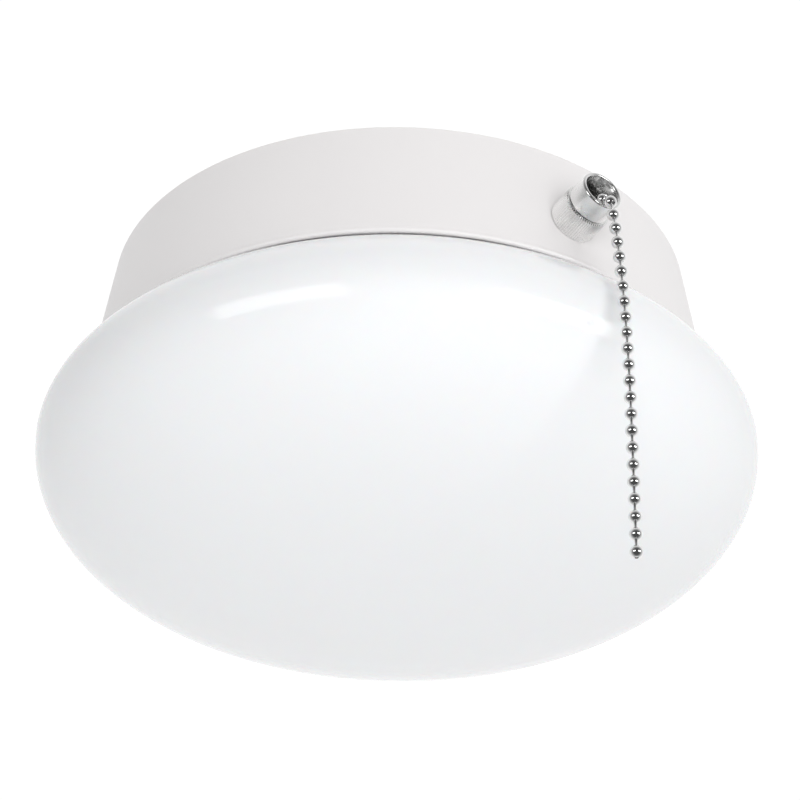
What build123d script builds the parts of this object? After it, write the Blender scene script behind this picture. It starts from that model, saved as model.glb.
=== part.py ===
from build123d import *
import math
import os

# Round ceiling light with an opal diffuser and a pull-chain switch on its side.
# Units are millimetres. The origin is the centre of the ceiling face, +Z points up
# into the ceiling, and the light hangs below, towards -Z. The viewer's side is -Y.

os.makedirs("parts", exist_ok=True)


# ---------------------------------------------------------------- driving dimensions

# Clearances
slip_gap = 0.05             # a shaft in its hole, a plate laid in its seat
part_gap = 0.4              # between pieces that move past each other
hole_gap = 0.2              # around a screw or a bushing in a sheet-metal hole

# Base pan
pan_top_radius = 72.5
pan_hem_line_radius = 77.6
pan_depth = 35.0
sheet = 0.8
pan_corner_radius = 1.6
hem_radius = 0.8
gasket_thickness = 0.5
gasket_width = 9.0
gasket_edge_inset = 2.5
dish_radius = 57.0
dish_depth = 3.0

# Mounting crossbar
crossbar_length = 106.0
crossbar_width = 20.0
crossbar_thickness = 1.6
box_screw_spacing = 69.85
box_slot_radius = 2.3
box_slot_length = 9.0
pan_screw_spacing = 92.0
pan_screw_radius = 2.0
pan_screw_head_radius = 3.9
pan_screw_head_height = 2.2
pan_slot_length = 10.0

# Wire entry, supply terminal and ground
wire_entry_y = 24.0
wire_entry_radius = 5.5
grommet_wall = 1.5
grommet_lip = 2.0
terminal_x = 26.0
terminal_y = 20.0
terminal_length = 17.0
terminal_width = 10.0
terminal_height = 9.0
terminal_pole_spacing = 5.0
terminal_mouth_radius = 1.4
ground_x = 38.0
ground_y = -16.0
ground_screw_radius = 1.8
ground_head_radius = 3.6
ground_head_height = 2.0

# LED carrier, board and its posts
carrier_lift = 5.0          # above the pan's lower edge
carrier_edge_gap = 1.8
carrier_thickness = 1.2
post_circle_radius = 50.0
post_radius = 3.5
post_count = 3
post_start_angle = 90.0
post_screw_radius = 1.5
post_screw_head_radius = 2.9
post_screw_head_height = 1.7
post_screw_length = 9.0
sheet_insulation = 0.4
insulation_radius = 64.0
board_outer_radius = 63.0
board_inner_radius = 14.0
board_thickness = 1.0
led_length = 3.5
led_width = 2.8
led_height = 0.8
led_rings = ((28.0, 12), (41.5, 18), (57.0, 24))
led_ring_phase = 5.0

# Driver
driver_x = -14.0
driver_y = 12.0
driver_length = 60.0
driver_width = 36.0
driver_height = 17.0
driver_wall = 1.2
driver_base_thickness = 1.6
driver_board_thickness = 1.2
driver_board_lift = 1.0
driver_ear_length = 6.0
driver_screw_radius = 1.3
driver_screw_head_radius = 2.6
driver_screw_head_height = 1.5
capacitor_radius = 5.0
capacitor_length = 17.0
inductor_radius = 5.5
inductor_height = 9.0
rectifier_size = 6.5
rectifier_height = 2.4
chip_length = 5.0
chip_width = 4.0
chip_height = 1.6
film_capacitor_length = 11.0
film_capacitor_width = 5.0
film_capacitor_height = 9.0
resistor_radius = 1.6
resistor_length = 9.0

# Diffuser lens
lens_radius = 89.0
lens_equator_drop = 15.5    # below the pan's lower edge
lens_lower_height = 34.5
lens_bowl_fullness = 0.61
lens_wall = 1.8
lens_shoulder_drop = 1.3    # gap between the pan's hem and the shoulder
lens_shoulder_outset = 0.4
lens_neck_inset = 4.0
lens_neck_rise = 4.7
lug_reach = 2.0
lug_height = 1.5
lug_angle = 16.0
clip_angle = 24.0
clip_height = 1.6
lens_catch_count = 3
lens_catch_start_angle = 30.0

# Pull switch: the bushing stands square to the slanted wall of the pan
switch_azimuth = 32.2
switch_rise = 7.0           # from the pan's lower edge to the knurled nut
thread_radius = 4.5
bushing_bore_radius = thread_radius - 0.9
bushing_inner_end = 6.6
knurled_nut_radius = thread_radius + 1.5
knurled_nut_height = 6.7
knurl_count = 60
knurl_depth = 0.25
mouth_setback = 0.65        # of the mouth behind the lens's widest ring
lip_centre_radius = thread_radius + 0.4
lip_radius = 0.5
flare_length = 4.2
hex_nut_size = 2 * thread_radius + 2.0
hex_nut_height = 2.4
washer_radius = thread_radius + 1.4
washer_thickness = 0.7
washer_tooth_count = 14
washer_tooth_depth = 0.8

# Switch case
case_back_reach = 6.3       # behind the rotor's pin
case_top_rise = 12.5        # above the switch's centre line
case_width = 15.0
case_wall = 1.3
case_front_clearance = 0.5
rivet_radius = 1.1
rivet_head_radius = 1.9
rivet_head_height = 0.6

# Chain: nominal number six ball chain
bead_diameter = 3.0
bead_pitch = 4.35
link_radius = 0.45
bead_lip_gap = 0.1
chain_slant = 12.0
chain_run_beads = 21

# Lever, rotor and contacts
lever_setback = 4.96        # of the lever's pin behind the case's front
lever_arm = 8.0
lever_thickness = 0.6
lever_width = 5.0
lever_tip_reach = 2.2
lever_slot_width = 1.6
lever_hub_radius = 2.2
pin_radius = 1.0
rotor_radius = 3.6
rotor_width = 3.0
rotor_setback = 8.2         # of the rotor's pin behind the lever's pin
rotor_chain_gap = 0.4
rotor_tooth_count = 8
rotor_tooth_depth = 0.5
rotor_hub_radius = 1.8
bridge_half_length = 4.2
bridge_width = 2.4
strip_thickness = 0.4
contact_height = 2.4
contact_tag_reach = 4.0
spring_coil_radius = 1.9
spring_wire_radius = 0.25
spring_turns = 4
spring_pitch = 0.62

# Leads
lead_radius = 0.9
solder_reach = 0.6


# ---------------------------------------------------------------- derived values

def pan_wall_radius(z):
    """Outer radius of the pan's slanted wall at height z."""
    wall_height = pan_depth - hem_radius - gasket_thickness
    share = (-z - gasket_thickness) / wall_height
    return pan_top_radius + (pan_hem_line_radius - pan_top_radius) * share


switch_z = -pan_depth + knurled_nut_radius + switch_rise
mouth_reach = lens_radius - pan_wall_radius(switch_z) - mouth_setback
lens_equator_z = -pan_depth - lens_equator_drop
lens_shoulder_z = -pan_depth - lens_shoulder_drop
lens_neck_top_z = -pan_depth + lens_neck_rise
lens_shoulder_radius = pan_hem_line_radius + lens_shoulder_outset
lens_neck_radius = pan_hem_line_radius - lens_neck_inset
lens_shoulder_angle = math.degrees(math.acos(lens_shoulder_radius / lens_radius))
lens_upper_height = (lens_shoulder_z - lens_equator_z) / math.sin(math.radians(lens_shoulder_angle))
carrier_z = -pan_depth + carrier_lift
carrier_radius = lens_neck_radius - lens_wall - carrier_edge_gap
wall_tilt = math.degrees(math.atan2(
    pan_hem_line_radius - pan_top_radius, pan_depth - hem_radius - gasket_thickness))
wall_across = sheet / math.cos(math.radians(wall_tilt))
pan_top_z = -gasket_thickness
dish_top_z = pan_top_z - dish_depth
dish_under_z = dish_top_z - sheet
carrier_under_z = carrier_z - carrier_thickness
board_under_z = carrier_under_z - board_thickness
hem_z = -pan_depth + hem_radius

azimuth_sin = math.sin(math.radians(switch_azimuth))
azimuth_cos = math.cos(math.radians(switch_azimuth))
tilt_sin = math.sin(math.radians(wall_tilt))
tilt_cos = math.cos(math.radians(wall_tilt))

# Upright plane through the light's axis and the switch: x is the distance from the
# light's axis and y is the height, so its points are (radius, z).
radial_plane = Plane(
    origin=(0, 0, 0),
    x_dir=(azimuth_sin, -azimuth_cos, 0),
    z_dir=(-azimuth_cos, -azimuth_sin, 0),
)

# Seat of the switch on the outside of the pan's wall, with z along the bushing.
switch_seat = Plane(
    origin=(pan_wall_radius(switch_z) * azimuth_sin, -pan_wall_radius(switch_z) * azimuth_cos, switch_z),
    x_dir=(azimuth_cos, azimuth_sin, 0),
    z_dir=(tilt_cos * azimuth_sin, -tilt_cos * azimuth_cos, tilt_sin),
)


# The flat lock washer bears on the curved inside of the wall by its edges.
washer_seat = -(sheet + washer_radius ** 2 / (2 * (pan_wall_radius(switch_z) - wall_across)) + 2 * slip_gap)


def seat_to_radial(along, up):
    """(radius, z) of a point that lies along the bushing and up across it."""
    radius = pan_wall_radius(switch_z) + along * tilt_cos - up * tilt_sin
    return (radius, switch_z + along * tilt_sin + up * tilt_cos)


# The chain leaves the switch level, turns over the lip and goes down along its slant.
# Its bend is centred behind the lip, so that every ball passes the lip with a small gap.
bead_radius = bead_diameter / 2
turn_angle = 90.0 - chain_slant
bend_radius = bead_pitch / math.radians(turn_angle)
lip_x, lip_z = seat_to_radial(mouth_reach - lip_radius, -lip_centre_radius)
lip_lead = bend_radius - bead_radius - lip_radius - bead_lip_gap
half_way = math.radians(chain_slant + turn_angle / 2)
bend_x = lip_x - lip_lead * math.cos(half_way)
bend_z = lip_z - lip_lead * math.sin(half_way)
chain_z = bend_z + bend_radius
slant_sin = math.sin(math.radians(chain_slant))
slant_cos = math.cos(math.radians(chain_slant))
lip_bead_x = bend_x + bend_radius * slant_cos
lip_bead_z = bend_z + bend_radius * slant_sin

# As many beads run inside as bring the lever nearest to its place behind the case's front.
case_front_along = washer_seat - washer_thickness - hex_nut_height - 2 * slip_gap - case_front_clearance
case_front_x, case_front_z = seat_to_radial(case_front_along, 0)
inner_bead_count = 1 + round((bend_x - case_front_x + lever_setback) / bead_pitch)

# The lever swings equally to both sides of upright over one pitch of the chain.
lever_x = bend_x - (inner_bead_count - 0.5) * bead_pitch + bead_pitch / 2
lever_pivot_z = chain_z + lever_arm
lever_rest_angle = math.degrees(math.atan2(bead_pitch / 2, lever_arm))
lever_length = lever_arm / math.cos(math.radians(lever_rest_angle)) + lever_tip_reach
rotor_x = lever_x - rotor_setback
rotor_z = chain_z + bead_radius + rotor_chain_gap + rotor_radius

# The case holds the rotor, and its lower rivets stay clear of the lever's sweep.
case_back_radius = rotor_x - case_back_reach
case_top_z = switch_z + case_top_rise
low_rivet_z = lever_pivot_z - math.hypot(lever_length, lever_thickness / 2) - part_gap - rivet_radius
case_bottom_z = low_rivet_z - rivet_radius - slip_gap - case_wall


def radial_point(radius, z, across=0.0):
    """Point of the whole light from a point of the upright switch plane."""
    return (
        radius * azimuth_sin - across * azimuth_cos,
        -radius * azimuth_cos - across * azimuth_sin,
        z,
    )


def save(part, name):
    """Label a finished piece and write its file."""
    part.label = name
    export_step(part, f"parts/{name}.step")


def turned_plane(angle):
    """Upright plane through the light's axis at an angle from +X; y is the height."""
    turn = math.radians(angle)
    return Plane(
        origin=(0, 0, 0),
        x_dir=(math.cos(turn), math.sin(turn), 0),
        z_dir=(math.sin(turn), -math.cos(turn), 0),
    )


def post_positions():
    """Centres of the carrier posts."""
    return PolarLocations(post_circle_radius, post_count, start_angle=post_start_angle)


# ---------------------------------------------------------------- ceiling side

def make_gasket():
    """Foam ring that closes the gap to the ceiling."""
    outer = pan_top_radius - gasket_edge_inset
    with BuildPart() as gasket:
        with BuildSketch(Plane.XY.offset(pan_top_z)):
            Circle(outer)
            Circle(outer - gasket_width, mode=Mode.SUBTRACT)
        extrude(amount=gasket_thickness)
    save(gasket.part, "ceiling_gasket")


def make_crossbar():
    """Steel bar that screws to the outlet box and takes the pan's screws."""
    with BuildPart() as crossbar:
        with BuildSketch(Plane.XY.offset(-crossbar_thickness)):
            RectangleRounded(crossbar_length, crossbar_width, crossbar_width / 4)
            with GridLocations(box_screw_spacing, 0, 2, 1):
                SlotCenterToCenter(box_slot_length - 2 * box_slot_radius, 2 * box_slot_radius,
                                   mode=Mode.SUBTRACT)
            with GridLocations(pan_screw_spacing, 0, 2, 1):
                Circle(pan_screw_radius + slip_gap, mode=Mode.SUBTRACT)
        extrude(amount=crossbar_thickness)
    save(crossbar.part, "mounting_crossbar")


def make_pan():
    """Painted steel pan: recessed top, slanted wall and rolled lower hem."""
    wall_top = pan_wall_radius(pan_top_z)
    hem_line = pan_wall_radius(hem_z)
    with BuildPart() as pan:
        with BuildSketch(Plane.XZ):
            with BuildLine():
                Polyline(
                    (0, dish_top_z),
                    (dish_radius, dish_top_z),
                    (dish_radius + dish_depth, pan_top_z),
                    (wall_top, pan_top_z),
                    (hem_line, hem_z),
                    (hem_line - wall_across, hem_z),
                    (wall_top - wall_across, pan_top_z - sheet),
                    (dish_radius + dish_depth - sheet / 2, pan_top_z - sheet),
                    (dish_radius - sheet / 2, dish_under_z),
                    (0, dish_under_z),
                    close=True,
                )
            make_face()
            with Locations((hem_line - wall_across / 2, hem_z)):
                Circle(hem_radius)
        revolve(axis=Axis.Z)
        top_corner = pan.edges().filter_by(GeomType.CIRCLE).filter_by(
            lambda edge: abs(edge.radius - wall_top) < slip_gap and abs(edge.center().Z - pan_top_z) < slip_gap)
        fillet(top_corner, min(pan_corner_radius, 0.9 * sheet))
        with BuildSketch(Plane.XY.offset(dish_top_z)):
            with GridLocations(pan_screw_spacing, 0, 2, 1):
                SlotCenterToCenter(pan_slot_length - 2 * pan_screw_radius, 2 * (pan_screw_radius + hole_gap),
                                   rotation=90)
            with Locations((0, wire_entry_y)):
                Circle(wire_entry_radius + grommet_wall)
            with Locations((ground_x, ground_y)):
                Circle(ground_screw_radius + slip_gap)
            with post_positions():
                Circle(post_screw_radius + slip_gap)
        extrude(amount=-2 * sheet, mode=Mode.SUBTRACT)
        with BuildSketch(switch_seat.offset(2 * sheet)):
            Circle(thread_radius + hole_gap)
        extrude(amount=-4 * sheet, mode=Mode.SUBTRACT)
    save(pan.part, "base_pan")


def make_screws(name, places, seat_z, shank_radius, shank_length, head_radius, head_height):
    """Pan-head screws whose heads hang below seat_z and whose shanks point up."""
    recess_reach = head_radius * 0.6
    recess_width = head_radius * 0.22
    recess_depth = head_height * 0.6
    with BuildPart() as screws:
        for x, y in places:
            with BuildSketch(Plane.XY.offset(seat_z)):
                with Locations((x, y)):
                    Circle(shank_radius)
            extrude(amount=shank_length)
            with BuildSketch(Plane.XY.offset(seat_z)):
                with Locations((x, y)):
                    Circle(head_radius)
            extrude(amount=-head_height)
            with BuildSketch(Plane.XY.offset(seat_z - head_height)):
                with Locations((x, y)):
                    Rectangle(2 * recess_reach, recess_width)
                    Rectangle(recess_width, 2 * recess_reach)
            extrude(amount=recess_depth, mode=Mode.SUBTRACT)
    save(screws.part, name)


def circle_places(radius, count, start_angle):
    """List of (x, y) points evenly spaced on a circle."""
    places = []
    for index in range(count):
        turn = math.radians(start_angle + 360 * index / count)
        places.append((radius * math.cos(turn), radius * math.sin(turn)))
    return places


def make_grommet():
    """Plastic bushing in the wire entry, with a lip on both faces of the sheet."""
    outer = wire_entry_radius + grommet_wall - slip_gap
    with BuildPart() as grommet:
        with BuildSketch(Plane.XY.offset(dish_under_z - sheet)):
            with Locations((0, wire_entry_y)):
                Circle(outer)
        extrude(amount=3 * sheet)
        for level, direction in ((dish_top_z + slip_gap, 1), (dish_under_z - slip_gap, -1)):
            with BuildSketch(Plane.XY.offset(level)):
                with Locations((0, wire_entry_y)):
                    Circle(outer + grommet_lip)
            extrude(amount=direction * sheet)
        with BuildSketch(Plane.XY.offset(dish_under_z - 3 * sheet)):
            with Locations((0, wire_entry_y)):
                Circle(wire_entry_radius)
        extrude(amount=8 * sheet, mode=Mode.SUBTRACT)
    save(grommet.part, "wire_grommet")


def terminal_poles():
    """X positions of the live, neutral and ground poles."""
    return [terminal_x + step * terminal_pole_spacing for step in (-1, 0, 1)]


def make_terminal():
    """Push-in supply terminal under the recessed top of the pan."""
    lead_z = dish_under_z - terminal_height / 2
    with BuildPart() as terminal:
        with BuildSketch(Plane.XY.offset(dish_under_z - slip_gap)):
            with Locations((terminal_x, terminal_y)):
                RectangleRounded(terminal_length, terminal_width, 1.0)
        extrude(amount=-terminal_height)
        with BuildSketch(Plane.XZ.offset(-(terminal_y - terminal_width / 2))):
            for pole in terminal_poles():
                with Locations((pole, lead_z)):
                    Circle(lead_radius + slip_gap)
        extrude(amount=-solder_reach - 1.0, mode=Mode.SUBTRACT)
        with BuildSketch(Plane.XZ.offset(-(terminal_y + terminal_width / 2))):
            for pole in terminal_poles():
                with Locations((pole, lead_z)):
                    Circle(terminal_mouth_radius)
        extrude(amount=0.4 * terminal_width, mode=Mode.SUBTRACT)
    save(terminal.part, "supply_terminal")


def make_ground_ring():
    """Ring terminal under the head of the ground screw, with its crimp barrel."""
    with BuildPart() as ring:
        with BuildSketch(Plane.XY.offset(dish_under_z - slip_gap)):
            with Locations((ground_x, ground_y)):
                Circle(ground_head_radius + 0.3)
            with Locations((ground_x, ground_y + ground_head_radius + 1.5)):
                Rectangle(2 * lead_radius + 0.8, 5)
            with Locations((ground_x, ground_y)):
                Circle(ground_screw_radius + slip_gap, mode=Mode.SUBTRACT)
        extrude(amount=-sheet)
    save(ring.part, "ground_ring_terminal")


# ---------------------------------------------------------------- LED engine

def make_posts():
    """Round posts between the pan's recessed top and the carrier plate."""
    with BuildPart() as posts:
        with BuildSketch(Plane.XY.offset(carrier_z + slip_gap)):
            with post_positions():
                Circle(post_radius)
                Circle(post_screw_radius + slip_gap, mode=Mode.SUBTRACT)
        extrude(amount=dish_under_z - carrier_z - 2 * slip_gap)
    save(posts.part, "carrier_posts")


def led_lead_places():
    """Points where the two LED leads come down through carrier and board."""
    edge = driver_y - driver_width / 2
    return [(driver_x - 14.0, edge - 10.0), (driver_x - 18.0, edge - 10.0)]


def make_carrier():
    """Aluminium plate that carries the LED board below and the driver above."""
    with BuildPart() as carrier:
        with BuildSketch(Plane.XY.offset(carrier_under_z)):
            Circle(carrier_radius)
            with post_positions():
                Circle(post_screw_radius + hole_gap, mode=Mode.SUBTRACT)
            for x, y in led_lead_places():
                with Locations((x, y)):
                    Circle(lead_radius + hole_gap, mode=Mode.SUBTRACT)
            for x, y in driver_screw_places():
                with Locations((x, y)):
                    Circle(driver_screw_radius + slip_gap, mode=Mode.SUBTRACT)
        extrude(amount=carrier_thickness)
        rim = carrier.edges().filter_by(GeomType.CIRCLE).filter_by(
            lambda edge: abs(edge.radius - carrier_radius) < slip_gap)
        chamfer(rim, carrier_thickness / 4)
    save(carrier.part, "carrier_plate")


def make_insulation():
    """Fibre sheet laid on the carrier plate under the driver."""
    reach = driver_length / 2 + driver_ear_length + 3
    with BuildPart() as insulation:
        with BuildSketch(Plane.XY.offset(carrier_z + slip_gap)):
            with Locations((driver_x, driver_y)):
                RectangleRounded(2 * reach, driver_width + 8, 4)
            Circle(insulation_radius, mode=Mode.INTERSECT)
            with post_positions():
                Circle(post_radius + hole_gap, mode=Mode.SUBTRACT)
            for x, y in led_lead_places():
                with Locations((x, y)):
                    Circle(lead_radius + hole_gap, mode=Mode.SUBTRACT)
            for x, y in driver_screw_places():
                with Locations((x, y)):
                    Circle(driver_screw_radius + hole_gap, mode=Mode.SUBTRACT)
        extrude(amount=sheet_insulation)
    save(insulation.part, "insulating_sheet")


def make_led_board():
    """White ring-shaped board screwed to the posts through the carrier."""
    with BuildPart() as board:
        with BuildSketch(Plane.XY.offset(board_under_z)):
            Circle(board_outer_radius)
            Circle(board_inner_radius, mode=Mode.SUBTRACT)
            with post_positions():
                Circle(post_screw_radius + hole_gap, mode=Mode.SUBTRACT)
            for x, y in led_lead_places():
                with Locations((x, y)):
                    Circle(lead_radius + hole_gap, mode=Mode.SUBTRACT)
            for x, y in driver_screw_places():
                with Locations((x, y)):
                    Circle(driver_screw_head_radius + hole_gap, mode=Mode.SUBTRACT)
        extrude(amount=board_thickness - slip_gap)
    save(board.part, "led_board")


def make_leds():
    """LED packages on concentric rings, each turned to face along its ring."""
    with BuildPart() as leds:
        with BuildSketch(Plane.XY.offset(board_under_z)):
            for ring_radius, count in led_rings:
                with PolarLocations(ring_radius, count, start_angle=led_ring_phase):
                    Rectangle(led_width, led_length)
        extrude(amount=-led_height)
    save(leds.part, "led_packages")


# ---------------------------------------------------------------- driver

def driver_base_z():
    """Underside of the driver's tray, on the insulating sheet."""
    return carrier_z + sheet_insulation + 2 * slip_gap


def driver_screw_places():
    """Screws in the tray's two ears."""
    reach = (driver_length + driver_ear_length) / 2
    return [(driver_x - reach, driver_y), (driver_x + reach, driver_y)]


def driver_lead_notches():
    """(x, y, z) where leads pass the driver's walls, and the wall they pass."""
    edge_y = driver_y - driver_width / 2
    edge_x = driver_x + driver_length / 2
    notches = [(x, edge_y, led_lead_z) for x, _ in led_lead_places()]
    notches.append((live_entry_x, edge_y, driver_entry_z))
    return notches, (edge_x, neutral_entry_y, driver_entry_z)


def make_driver_tray():
    """Tray of the driver with a screw ear at each end."""
    base_z = driver_base_z()
    with BuildPart() as tray:
        with BuildSketch(Plane.XY.offset(base_z)):
            with Locations((driver_x, driver_y)):
                Rectangle(driver_length, driver_width)
            for x, y in driver_screw_places():
                with Locations((x, y)):
                    RectangleRounded(driver_ear_length + 4, 10, 2)
            for x, y in driver_screw_places():
                with Locations((x, y)):
                    Circle(driver_screw_radius + hole_gap, mode=Mode.SUBTRACT)
        extrude(amount=driver_base_thickness)
        with BuildSketch(Plane.XY.offset(base_z + driver_base_thickness)):
            with Locations((driver_x, driver_y)):
                with GridLocations(driver_length - 12, driver_width - 12, 2, 2):
                    Circle(2.0)
        extrude(amount=driver_board_lift)
    save(tray.part, "driver_tray")


def make_driver_cover():
    """Box over the driver, with notches for its leads."""
    base_z = driver_base_z() + driver_base_thickness + slip_gap
    with BuildPart() as cover:
        with BuildSketch(Plane.XY.offset(base_z)):
            with Locations((driver_x, driver_y)):
                Rectangle(driver_length, driver_width)
        extrude(amount=driver_height)
        fillet(cover.edges().filter_by(Axis.Z), 2.0)
        fillet(cover.faces().sort_by(Axis.Z)[-1].edges(), 0.8)
        with BuildSketch(Plane.XY.offset(base_z)):
            with Locations((driver_x, driver_y)):
                RectangleRounded(driver_length - 2 * driver_wall, driver_width - 2 * driver_wall, 1.0)
        extrude(amount=driver_height - driver_wall, mode=Mode.SUBTRACT)
        front_notches, side_notch = driver_lead_notches()
        for x, y, z in front_notches:
            with BuildSketch(Plane.XZ.offset(-(y + driver_wall + 1))):
                with Locations((x, z)):
                    Circle(lead_radius + hole_gap)
            extrude(amount=driver_wall + 2, mode=Mode.SUBTRACT)
        x, y, z = side_notch
        with BuildSketch(Plane.YZ.offset(x + 1)):
            with Locations((y, z)):
                Circle(lead_radius + hole_gap)
        extrude(amount=-driver_wall - 2, mode=Mode.SUBTRACT)
        with BuildSketch(Plane.XY.offset(base_z + driver_height)):
            with Locations((driver_x, driver_y)):
                with GridLocations(6, 0, 6, 1):
                    SlotOverall(14, 1.6, rotation=90)
        extrude(amount=-2 * driver_wall, mode=Mode.SUBTRACT)
    save(cover.part, "driver_cover")


def driver_board_top():
    """Top face of the driver's circuit board."""
    return driver_base_z() + driver_base_thickness + driver_board_lift + driver_board_thickness + slip_gap


def make_driver_board():
    """Circuit board of the driver."""
    with BuildPart() as board:
        with BuildSketch(Plane.XY.offset(driver_board_top() - driver_board_thickness)):
            with Locations((driver_x, driver_y)):
                Rectangle(driver_length - 2 * driver_wall - 2, driver_width - 2 * driver_wall - 2)
        extrude(amount=driver_board_thickness)
    save(board.part, "driver_board")


def make_driver_components():
    """Components on the driver's board, each in a file of its own."""
    seat_z = driver_board_top() + slip_gap

    with BuildPart() as capacitor:
        with BuildSketch(Plane.YZ.offset(driver_x + 5)):
            with Locations((driver_y + 8, seat_z + capacitor_radius)):
                Circle(capacitor_radius)
        extrude(amount=capacitor_length)
        fillet(capacitor.edges().filter_by(GeomType.CIRCLE), 0.8)
    save(capacitor.part, "smoothing_capacitor")

    with BuildPart() as inductor:
        with BuildSketch(Plane.XY.offset(seat_z)):
            with Locations((driver_x - 7, driver_y + 7)):
                Circle(inductor_radius)
        extrude(amount=inductor_height)
        with BuildSketch(Plane.XY.offset(seat_z + 1.5)):
            with Locations((driver_x - 7, driver_y + 7)):
                Circle(inductor_radius + 1)
                Circle(inductor_radius - 0.8, mode=Mode.SUBTRACT)
        extrude(amount=inductor_height - 3, mode=Mode.SUBTRACT)
    save(inductor.part, "inductor")

    with BuildPart() as rectifier:
        with BuildSketch(Plane.XY.offset(seat_z)):
            with Locations((driver_x + 16, driver_y - 7)):
                Rectangle(rectifier_size, rectifier_size)
        extrude(amount=rectifier_height)
        chamfer(rectifier.faces().sort_by(Axis.Z)[-1].edges(), 0.4)
    save(rectifier.part, "bridge_rectifier")

    with BuildPart() as chip:
        with BuildSketch(Plane.XY.offset(seat_z + 0.2)):
            with Locations((driver_x + 2, driver_y - 8)):
                Rectangle(chip_length, chip_width)
        extrude(amount=chip_height)
        with BuildSketch(Plane.XY.offset(seat_z)):
            with Locations((driver_x + 2, driver_y - 8)):
                with GridLocations(1.27, chip_width + 1.0, 4, 2):
                    Rectangle(0.4, 1.0)
        extrude(amount=0.8)
    save(chip.part, "control_chip")

    with BuildPart() as film_capacitor:
        with BuildSketch(Plane.XY.offset(seat_z)):
            with Locations((driver_x - 20, driver_y + 6)):
                Rectangle(film_capacitor_width, film_capacitor_length)
        extrude(amount=film_capacitor_height)
        fillet(film_capacitor.edges().filter_by(Axis.Z), 0.8)
    save(film_capacitor.part, "film_capacitor")

    with BuildPart() as resistor:
        with BuildSketch(Plane.XZ.offset(-(driver_y - 12))):
            with Locations((driver_x - 9, seat_z + resistor_radius)):
                Circle(resistor_radius)
        extrude(amount=-resistor_length)
        fillet(resistor.edges().filter_by(GeomType.CIRCLE), 0.6)
    save(resistor.part, "fuse_resistor")


# ---------------------------------------------------------------- lens

def bowl_handles(radius, height):
    """Bezier points from the equator down to the pole of a rounded bowl outline."""
    pole_z = lens_equator_z - height
    return [
        (radius, lens_equator_z),
        (radius, lens_equator_z - lens_bowl_fullness * height),
        (lens_bowl_fullness * radius, pole_z),
        (0, pole_z),
    ]


def make_lens():
    """Opal bowl with a shoulder under the pan's hem, a neck and three lugs."""
    inner_radius = lens_radius - lens_wall
    neck_inner = lens_neck_radius - lens_wall
    inner_angle = math.degrees(math.acos(neck_inner / inner_radius))
    inner_upper_height = (lens_shoulder_z - lens_wall - lens_equator_z) / math.sin(math.radians(inner_angle))
    outer_bowl = bowl_handles(lens_radius, lens_lower_height)
    inner_bowl = bowl_handles(inner_radius, lens_lower_height - lens_wall)
    inner_top_z = lens_shoulder_z - lens_wall
    with BuildPart() as lens:
        with BuildSketch(Plane.XZ):
            with BuildLine():
                EllipticalCenterArc((0, lens_equator_z), lens_radius, lens_upper_height,
                                    arc_size=lens_shoulder_angle)
                Polyline(
                    (lens_shoulder_radius, lens_shoulder_z),
                    (lens_neck_radius, lens_shoulder_z),
                    (lens_neck_radius, lens_neck_top_z),
                    (neck_inner, lens_neck_top_z),
                    (neck_inner, inner_top_z),
                )
                EllipticalCenterArc((0, lens_equator_z), inner_radius, inner_upper_height, arc_size=inner_angle)
                Bezier(*inner_bowl)
                Line(inner_bowl[-1], outer_bowl[-1])
                Bezier(*outer_bowl)
            make_face()
        revolve(axis=Axis.Z)
        for _, angle in lens_catches():
            with BuildSketch(turned_plane(angle - lug_angle / 2)):
                with Locations((lens_neck_radius - lens_wall / 2, lens_neck_top_z)):
                    Rectangle(lens_wall / 2 + lug_reach, lug_height, align=(Align.MIN, Align.MAX))
            revolve(axis=Axis.Z, revolution_arc=lug_angle)
    save(lens.part, "diffuser_lens")


def lens_catches():
    """Number and angle of each lug, and of the clip that it rests on."""
    return [(index + 1, lens_catch_start_angle + 360 * index / lens_catch_count)
            for index in range(lens_catch_count)]


def make_lens_clips():
    """Ledges welded inside the pan's wall that hold the lens by its lugs."""
    top_z = lens_neck_top_z - lug_height - part_gap / 2
    bottom_z = top_z - clip_height
    inner = lens_neck_radius + part_gap
    for number, angle in lens_catches():
        with BuildPart() as clip:
            with BuildSketch(turned_plane(angle - clip_angle / 2)):
                with BuildLine():
                    Polyline(
                        (inner, top_z),
                        (pan_wall_radius(top_z) - wall_across - slip_gap, top_z),
                        (pan_wall_radius(bottom_z) - wall_across - slip_gap, bottom_z),
                        (inner, bottom_z),
                        close=True,
                    )
                make_face()
            revolve(axis=Axis.Z, revolution_arc=clip_angle)
        save(clip.part, f"lens_clip_{number}")


# ---------------------------------------------------------------- switch hardware

def make_bushing():
    """Threaded bushing with a collar whose mouth flares to a thin rounded lip."""
    collar_along = knurled_nut_height + 2 * slip_gap
    lip_along = mouth_reach - lip_radius
    collar_radius = lip_centre_radius + lip_radius
    flare_start = mouth_reach - flare_length
    with BuildPart() as bushing:
        with BuildSketch(switch_seat * Plane.XZ):
            with BuildLine():
                Polyline(
                    (bushing_bore_radius, flare_start),
                    (bushing_bore_radius, -bushing_inner_end),
                    (thread_radius, -bushing_inner_end),
                    (thread_radius, collar_along),
                    (collar_radius, collar_along),
                    (collar_radius, lip_along),
                )
                ThreePointArc(
                    (collar_radius, lip_along),
                    (lip_centre_radius, mouth_reach),
                    (lip_centre_radius - lip_radius, lip_along),
                )
                Line((lip_centre_radius - lip_radius, lip_along), (bushing_bore_radius, flare_start))
            make_face()
        revolve(axis=Axis(switch_seat.origin, switch_seat.z_dir))
    save(bushing.part, "switch_bushing")


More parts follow.
